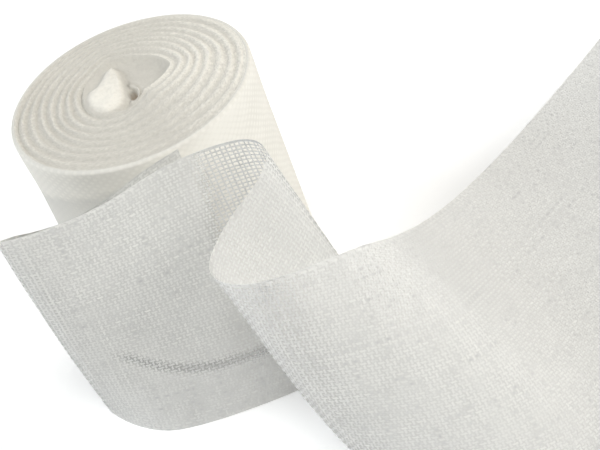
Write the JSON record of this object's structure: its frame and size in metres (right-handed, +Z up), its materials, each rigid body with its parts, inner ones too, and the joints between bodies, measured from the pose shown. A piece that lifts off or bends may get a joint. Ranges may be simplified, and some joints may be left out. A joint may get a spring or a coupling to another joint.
{
  "type": "gauze bandage roll",
  "caption": "Wound roll of open-weave gauze bandage standing on its end, with its loose tail standing in an S beside it.",
  "frame": {"origin": "centre of the roll's base, on the surface that it stands on", "axes": "+Z up along the roll's axis, +X the way the tail's front layer runs, -Y the side that the tail stands on"},
  "size_m": [0.237, 0.1526, 0.0753],
  "materials": {
    "roll": "matt wound cotton gauze, warm off-white",
    "tail": "matt sheer open-weave cotton gauze, off-white"
  },
  "bodies": {
    "root": {"roll": "roll", "tail": "tail"}
  },
  "joints": []
}
